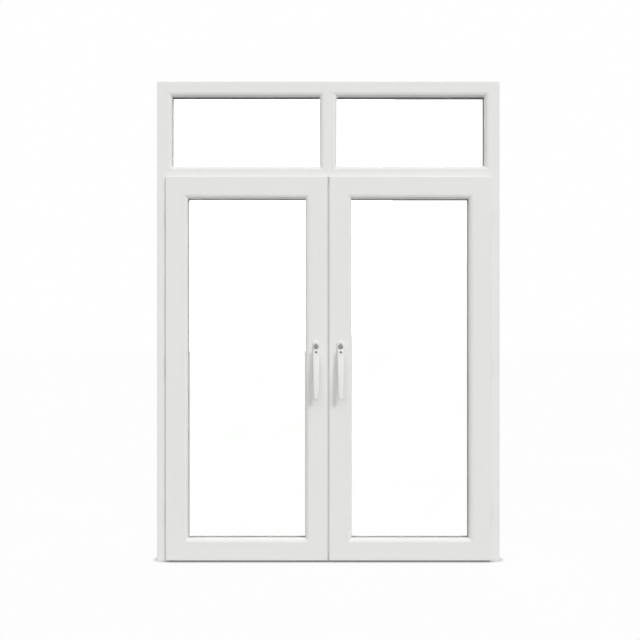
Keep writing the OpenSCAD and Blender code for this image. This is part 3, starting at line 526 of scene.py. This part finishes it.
def lip_tree():
    """A soft round lip along each rectangle, bent round its corners, in two planes."""
    tree, given = new_tree("glazing_lip", {
        "Room Plane": "Float", "Outer Plane": "Float", "Lip Radius": "Float", "Corner Radius": "Float",
        "Finish": "Material"})
    path = add(tree, "GeometryNodeMeshToCurve", {"Mesh": given["Geometry"]}).outputs["Curve"]
    bent = add(tree, "GeometryNodeFilletCurve", {"Curve": path, "Radius": given["Corner Radius"]})
    section = add(tree, "GeometryNodeCurvePrimitiveCircle", {"Resolution": 10, "Radius": given["Lip Radius"]})
    lip = add(tree, "GeometryNodeCurveToMesh",
              {"Curve": bent.outputs["Curve"], "Profile Curve": section.outputs["Curve"]}).outputs["Mesh"]
    both = add(tree, "GeometryNodeJoinGeometry")
    for plane in ("Room Plane", "Outer Plane"):
        shift = add(tree, "ShaderNodeCombineXYZ", {"Y": given[plane]}).outputs["Vector"]
        moved = add(tree, "GeometryNodeTransform", {"Geometry": lip, "Translation": shift})
        tree.links.new(moved.outputs["Geometry"], both.inputs["Geometry"])
    close_tree(tree, given, both.outputs["Geometry"])
    return tree


def rectangle(x0, x1, z0, z1):
    """The corners of a rectangle in the plane of the glass, in turn."""
    return [(x0, 0, z0), (x1, 0, z0), (x1, 0, z1), (x0, 0, z1)]


def add_glazing_lips():
    """The visible lip of each gasket, where bead or bar meets the glass, on both faces of every unit."""
    tree = lip_tree()
    radius = 1.5 * MM
    out = 0.5 * MM
    cover = 20 * MM
    bar_half = 22 * MM
    sight = {}
    for side in SIDES:
        lo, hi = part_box(f"{side}_beads")
        sight[side] = [(f"{side}_leaf", rectangle(lo.x + cover + out, hi.x - cover - out,
                                                  lo.z + cover + out, hi.z - cover - out))]
    lo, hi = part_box("toplight_beads")
    mullion_lo, mullion_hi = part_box("mullion")
    post = (mullion_hi.x + mullion_lo.x) / 2 + bar_half
    low, high = lo.z + cover + out, hi.z - cover - out
    sight["toplight"] = [("frame", rectangle(lo.x + cover + out, -post - cover - out, low, high)),
                         ("frame", rectangle(post + cover + out, hi.x - cover - out, low, high))]
    for name, loops in sight.items():
        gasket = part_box("toplight_gaskets" if name == "toplight" else f"{name}_glazing_gaskets")
        sightlines = edges_mesh(f"{name}_sightlines", [loop for _, loop in loops], True)
        grow(f"{name}_glazing_lips", tree, sightlines, loops[0][0], {
                 "Room Plane": gasket[0].y + radius, "Outer Plane": gasket[1].y - radius,
                 "Lip Radius": radius, "Corner Radius": 4 * MM, "Finish": RUBBER}, 60)


def screw_head():
    """A countersunk screw head with a cross recess, standing on its plate along z."""
    count = 24
    arm, waist = 2.1, 0.75
    cross = []
    for i in range(count):
        a = 2 * math.pi * i / count
        near = abs((a + math.pi / 4) % (math.pi / 2) - math.pi / 4)
        cross.append((a, arm if near < 0.3 else waist / math.sin(max(near, 0.3))))
    rings = [[(4.0, 0)] * count, [(3.9, 0.35)] * count, [(3.3, 0.6)] * count]
    rings.append([(r, 0.65) for _, r in cross])
    rings.append([(r * 0.55, -0.4) for _, r in cross])
    bm = bmesh.new()
    skin(bm, [[Vector((r * math.cos(a) * MM, r * math.sin(a) * MM, z * MM))
               for (a, _), (r, z) in zip(cross, ring)] for ring in rings])
    mesh = solid_mesh("screw_head", bm, ZINC)
    head = bpy.data.objects.new("screw_head", mesh)
    bpy.context.scene.collection.objects.link(head)
    return head


def screw_tree():
    """One screw head on each point, turned at random and facing the way its point says."""
    tree, given = new_tree("screws", {"Head": "Object", "Seed": "Int", "Finish": "Material"})
    head = add(tree, "GeometryNodeObjectInfo", {"Object": given["Head"]}).outputs["Geometry"]
    facing = add(tree, "GeometryNodeInputNamedAttribute", {"Name": "facing"}, data_type="FLOAT_VECTOR")
    direction = next(o for o in facing.outputs if o.enabled and o.name == "Attribute")
    turn = add(tree, "FunctionNodeAlignRotationToVector", {"Vector": direction}, axis="Z")
    spin = add(tree, "FunctionNodeRandomValue", {"Seed": given["Seed"]}, data_type="FLOAT")
    for socket in spin.inputs:
        if socket.name == "Max" and socket.type == "VALUE":
            socket.default_value = math.pi / 2
    angle = add(tree, "ShaderNodeCombineXYZ", {"Z": [o for o in spin.outputs if o.type == "VALUE"][0]})
    rotation = add(tree, "FunctionNodeRotateRotation",
                   {"Rotation": turn.outputs["Rotation"], "Rotate By": angle.outputs["Vector"]},
                   rotation_space="LOCAL")
    placed = add(tree, "GeometryNodeInstanceOnPoints", {
        "Points": given["Geometry"], "Instance": head, "Rotation": rotation.outputs["Rotation"]})
    close_tree(tree, given, placed.outputs["Instances"])
    return tree


def faced_points(name, points):
    """A mesh of loose points, each with the direction that it faces."""
    mesh = bpy.data.meshes.new(name)
    mesh.from_pydata([p for p, _ in points], [], [])
    facing = mesh.attributes.new("facing", "FLOAT_VECTOR", "POINT")
    facing.data.foreach_set("vector", [c for _, d in points for c in d])
    return mesh


def hinge_heights():
    """The middle height of each hinge, from the brackets' own groups of points."""
    levels = sorted({round(v.co.z, 4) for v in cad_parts["hinge_brackets"].data.vertices})
    groups = [[levels[0]]]
    for level in levels[1:]:
        if level - groups[-1][-1] > 100 * MM:
            groups.append([])
        groups[-1].append(level)
    return [(group[0] + group[-1]) / 2 for group in groups]


KEEP_T = 2 * MM
KEEP_SCREW_REACH = 17 * MM
PLATE_T = 3 * MM
BRACKET_SEAT = 20 * MM
TOP_BOLT_FROM_KEEP_END = 25 * MM
LOW_BOLT_FROM_ROD_MIDDLE = 1.55 * MM
SCREW_COLUMNS = (-24 * MM, -4 * MM)
BRACKET_SCREW_ROWS = (-12 * MM, 12 * MM)
FLAP_SCREW_ROWS = (-36 * MM, 36 * MM)


def add_screws():
    """The screws of the keeps, the hinge brackets and the hinge flaps."""
    head = screw_head()
    tree = screw_tree()
    heights = hinge_heights()
    keep_lo, keep_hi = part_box("bolt_keeps")
    bolt_y = (keep_lo.y + keep_hi.y) / 2
    on_frame = []
    for side, s in SIDES.items():
        rod_lo, rod_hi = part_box(f"{side}_bottom_rod")
        top_bolt_x = keep_hi.x - TOP_BOLT_FROM_KEEP_END
        low_bolt_x = abs(rod_lo.x + rod_hi.x) / 2 - LOW_BOLT_FROM_ROD_MIDDLE
        for bolt_x, z, up in ((top_bolt_x, keep_hi.z - KEEP_T, -1), (low_bolt_x, keep_lo.z + KEEP_T, 1)):
            for offset in (-KEEP_SCREW_REACH, KEEP_SCREW_REACH):
                on_frame.append(((s * bolt_x + offset, bolt_y, z), (0, 0, up)))
        jamb_edge = abs(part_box(f"frame_jamb_{side}")[0 if s > 0 else 1].x)
        bracket_face = s * (jamb_edge + BRACKET_SEAT - PLATE_T)
        flap_lo, flap_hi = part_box(f"{side}_hinge_flaps")
        flap_face = s * (min(abs(flap_lo.x), abs(flap_hi.x)) + PLATE_T)
        on_frame += [((bracket_face, y, z + dz), (-s, 0, 0))
                     for z in heights for dz in BRACKET_SCREW_ROWS for y in SCREW_COLUMNS]
        on_leaf = [((flap_face, y, z + dz), (s, 0, 0))
                   for z in heights for dz in FLAP_SCREW_ROWS for y in SCREW_COLUMNS]
        grow(f"{side}_hinge_screws", tree, faced_points(f"{side}_hinge_screw_points", on_leaf),
             f"{side}_leaf", {"Head": head, "Seed": 3, "Finish": ZINC})
    grow("frame_screws", tree, faced_points("frame_screw_points", on_frame), "frame",
         {"Head": head, "Seed": 5, "Finish": ZINC})
    bpy.data.objects.remove(head)


def tread_tree():
    """Half-round treads side by side, along every edge of the base."""
    tree, given = new_tree("threshold_tread", {
        "Treads": "Int", "Pitch": "Float", "Tread Radius": "Float", "Finish": "Material"})
    path = add(tree, "GeometryNodeMeshToCurve", {"Mesh": given["Geometry"]}).outputs["Curve"]
    section = add(tree, "GeometryNodeCurvePrimitiveCircle",
                  {"Resolution": 12, "Radius": given["Tread Radius"]})
    tread = add(tree, "GeometryNodeCurveToMesh", {
        "Curve": path, "Profile Curve": section.outputs["Curve"], "Fill Caps": True}).outputs["Mesh"]
    step = add(tree, "ShaderNodeCombineXYZ", {"Y": given["Pitch"]}).outputs["Vector"]
    row = add(tree, "GeometryNodeMeshLine", {"Count": given["Treads"], "Offset": step}).outputs["Mesh"]
    placed = add(tree, "GeometryNodeInstanceOnPoints", {"Points": row, "Instance": tread})
    close_tree(tree, given, placed.outputs["Instances"])
    return tree


def add_tread():
    """The tread of the threshold: the rows in front are left out round the bolt keeps."""
    lo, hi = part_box("threshold")
    keep_lo, keep_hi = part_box("bolt_keeps")
    bolt_lo, bolt_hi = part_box("right_bottom_rod")
    bolt = (bolt_lo.x + bolt_hi.x) / 2
    clear = 28 * MM
    radius, sink, pitch = 0.9 * MM, 0.4 * MM, 6 * MM
    x0, x1 = lo.x + MM, hi.x - MM
    between_keeps = [(x0, -bolt - clear), (-bolt + clear, bolt - clear), (bolt + clear, x1)]
    rows = {"front": (lo.y + 6 * MM, 4, between_keeps), "rear": (lo.y + 30 * MM, 4, [(x0, x1)])}
    tree = tread_tree()
    for name, (first, count, spans) in rows.items():
        lines = [[(a, first, keep_lo.z - sink), (b, first, keep_lo.z - sink)] for a, b in spans]
        grow(f"threshold_tread_{name}", tree, edges_mesh(f"tread_lines_{name}", lines, False),
             "frame",
             {"Treads": count, "Pitch": pitch, "Tread Radius": radius, "Finish": ANODISED})


def hood_tree():
    """A drain hood on each point: a half-round cowl over its slot."""
    tree, given = new_tree("drain_hoods", {
        "Hood Length": "Float", "Hood Radius": "Float", "Depth": "Float", "Finish": "Material"})
    reach = add(tree, "ShaderNodeCombineXYZ", {"X": given["Hood Length"]}).outputs["Vector"]
    line = add(tree, "GeometryNodeCurvePrimitiveLine", {"End": reach})
    middle = add(tree, "GeometryNodeResampleCurve", {"Curve": line.outputs["Curve"], "Count": 9})
    section = add(tree, "GeometryNodeCurvePrimitiveCircle",
                  {"Resolution": 20, "Radius": given["Hood Radius"]})
    tube = add(tree, "GeometryNodeCurveToMesh", {
        "Curve": middle.outputs["Curve"], "Profile Curve": section.outputs["Curve"], "Fill Caps": True})
    flat = add(tree, "ShaderNodeCombineXYZ", {"X": 1.0, "Y": given["Depth"], "Z": 1.0}).outputs["Vector"]
    cowl = add(tree, "GeometryNodeTransform", {"Geometry": tube.outputs["Mesh"], "Scale": flat})
    placed = add(tree, "GeometryNodeInstanceOnPoints", {
        "Points": given["Geometry"], "Instance": cowl.outputs["Geometry"]})
    close_tree(tree, given, placed.outputs["Instances"])
    return tree


def add_drain_hoods():
    """Two drain hoods low on the outer face of each leaf's bottom rail."""
    tree = hood_tree()
    length = 32 * MM
    height = 62 * MM
    share_of_rail = 0.27
    for side in SIDES:
        lo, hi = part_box(f"{side}_bottom_rail")
        reach = (hi.x - lo.x) * share_of_rail
        middle = (lo.x + hi.x) / 2
        points = [[(middle + s * reach - length / 2, hi.y, lo.z + height)] for s in (-1, 1)]
        grow(f"{side}_drain_hoods", tree, edges_mesh(f"{side}_drain_points", points, False),
             f"{side}_leaf",
             {"Hood Length": length, "Hood Radius": 5 * MM, "Depth": 0.8, "Finish": LEVEL_UPVC}, 50)


# ---------------------------------------------------------------- stage, light and camera

def stage_plane(name, half, material):
    """A level square floor under the threshold."""
    mesh = bpy.data.meshes.new(name)
    corners = [(-half, -half, 0), (half, -half, 0), (half, half, 0), (-half, half, 0)]
    mesh.from_pydata(corners, [], [(0, 1, 2, 3)])
    mesh.materials.append(material)
    floor = bpy.data.objects.new(name, mesh)
    bpy.context.scene.collection.objects.link(floor)


# Brightness of the floor and of the surround: as seen, as seen through glass, and as gloss mirrors it.
FLOOR_SEEN = 0.985
FLOOR_THROUGH = 1.1
FLOOR_MIRRORED = 0.6
SURROUND = 0.995
SURROUND_THROUGH = 1.1
SURROUND_MIRRORED = 0.8
# What the floor throws back up, how far its painted contact shade reaches (m), and the surround's own light.
FLOOR_BOUNCE = 0.40
CONTACT = 0.035
SKY = 0.335
FLOOR_HALF = 30

LENS_MM = 50
SENSOR_MM = 36
CAMERA_LEFT = 0.042
CAMERA_AWAY = 4.45
CAMERA_HEIGHT = 1.206


def looks(tree, lit, mirrored, seen, through):
    """A brightness: lit for the light on matt surfaces, mirrored for what gloss and glass reflect, seen for
    sight, and through for sight through glass. It also returns 1 where it is lit, and 0 elsewhere."""
    ray = add(tree, "ShaderNodeLightPath").outputs
    direct = add(tree, "ShaderNodeMath", {0: ray["Is Camera Ray"], 1: ray["Is Transmission Ray"]},
                 operation="MAXIMUM").outputs["Value"]
    sight = add(tree, "ShaderNodeMath", {0: direct, 1: ray["Is Glossy Ray"]},
                operation="MAXIMUM").outputs["Value"]
    blind = add(tree, "ShaderNodeMath", {0: 1.0, 1: sight}, operation="SUBTRACT").outputs["Value"]
    thrown = add(tree, "ShaderNodeMath", {0: ray["Diffuse Depth"], 1: blind}, operation="ADD",
                 use_clamp=True).outputs["Value"]
    behind = add(tree, "ShaderNodeMapRange", {"Value": ray["Transmission Depth"], "To Min": seen,
                                              "To Max": through}).outputs["Result"]
    gloss = add(tree, "ShaderNodeMapRange", {"Value": ray["Glossy Depth"], "To Min": behind,
                                             "To Max": mirrored}).outputs["Result"]
    level = add(tree, "ShaderNodeMix", {0: thrown, 2: gloss, 3: lit}, data_type="FLOAT").outputs[0]
    return level, thrown


def pale_floor():
    """Matt white studio floor: white to look at, with a painted contact shade (its glow darkened by ambient
    occlusion) where something stands close, and it throws little light back up."""
    material = bpy.data.materials.new("matt_studio_floor")
    material.use_nodes = True
    tree = material.node_tree
    tree.nodes.clear()
    cloud = grain(tree, add(tree, "ShaderNodeTexCoord").outputs["Object"], (700, 700, 700))
    tone = add(tree, "ShaderNodeMapRange", {"Value": cloud, "To Min": 0.995, "To Max": 1.005})
    level, thrown = looks(tree, 0.0, FLOOR_MIRRORED, FLOOR_SEEN, FLOOR_THROUGH)
    # Painted contact shade: ambient occlusion darkens the floor's glow where something stands within CONTACT
    # of it.
    close = add(tree, "ShaderNodeAmbientOcclusion", {"Distance": CONTACT}, samples=8)
    tone_and_painted_shade = add(tree, "ShaderNodeMath", {0: tone.outputs["Result"], 1: close.outputs["AO"]},
                 operation="MULTIPLY")
    strength = add(tree, "ShaderNodeMath", {0: level, 1: tone_and_painted_shade.outputs["Value"]}, operation="MULTIPLY")
    glow = add(tree, "ShaderNodeEmission",
               {"Color": linear("#FFFFFF"), "Strength": strength.outputs["Value"]})
    bounce = add(tree, "ShaderNodeBsdfDiffuse", {"Color": (FLOOR_BOUNCE,) * 3 + (1,)})
    mixed = add(tree, "ShaderNodeMixShader",
                {0: thrown, 1: glow.outputs["Emission"], 2: bounce.outputs["BSDF"]})
    add(tree, "ShaderNodeOutputMaterial", {"Surface": mixed.outputs["Shader"]})
    return material


def set_world():
    """A white surround that looks bright but lights the object softly."""
    world = bpy.data.worlds.new("studio_surround")
    bpy.context.scene.world = world
    world.use_nodes = True
    tree = world.node_tree
    tree.nodes.clear()
    level, _ = looks(tree, SKY, SURROUND_MIRRORED, SURROUND, SURROUND_THROUGH)
    back = add(tree, "ShaderNodeBackground", {"Color": linear("#FFFFFF"), "Strength": level})
    add(tree, "ShaderNodeOutputWorld", {"Surface": back.outputs["Background"]})


def distant_softbox(name, towards, spread_deg, strength, mirrored=False):
    """A soft, even light from one direction over the whole object; glass mirrors only the key."""
    light = bpy.data.lights.new(name, "SUN")
    light.angle = math.radians(spread_deg)
    light.energy = strength
    lamp = bpy.data.objects.new(name, light)
    lamp.rotation_euler = Vector(towards).to_track_quat("Z", "Y").to_euler()
    lamp.visible_glossy = mirrored
    bpy.context.scene.collection.objects.link(lamp)


def set_lights():
    """A key from the upper right front, a broad soft light over the camera, and one behind the doors."""
    distant_softbox("key_softbox", (0.64, -1.0, 0.80), spread_deg=14, strength=0.92, mirrored=True)
    distant_softbox("overhead_softbox", (0.0, -0.8, 0.62), spread_deg=70, strength=1.21)
    distant_softbox("rear_softbox", (-0.3, 0.8, 0.15), spread_deg=50, strength=1.45)


def set_camera():
    """A level view from the room side, square to the frame."""
    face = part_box("frame_head")[0].y
    data = bpy.data.cameras.new("room_view")
    data.lens = LENS_MM
    data.sensor_width = SENSOR_MM
    camera = bpy.data.objects.new("room_view", data)
    camera.location = (-CAMERA_LEFT, face - CAMERA_AWAY, CAMERA_HEIGHT)
    camera.rotation_euler = (math.radians(90), 0, 0)
    bpy.context.scene.collection.objects.link(camera)
    bpy.context.scene.camera = camera
    bpy.context.scene.view_settings.view_transform = "Standard"


# ---------------------------------------------------------------- all together

paint_nodes()
for side_name in SIDES:
    add_lever(side_name)
    add_spindle_cap(side_name)
    add_backplate(side_name)
    add_lock_turn(side_name)
add_glazing_lips()
add_screws()
add_tread()
add_drain_hoods()
stage_plane("studio_floor", FLOOR_HALF, pale_floor())
set_world()
set_lights()
set_camera()
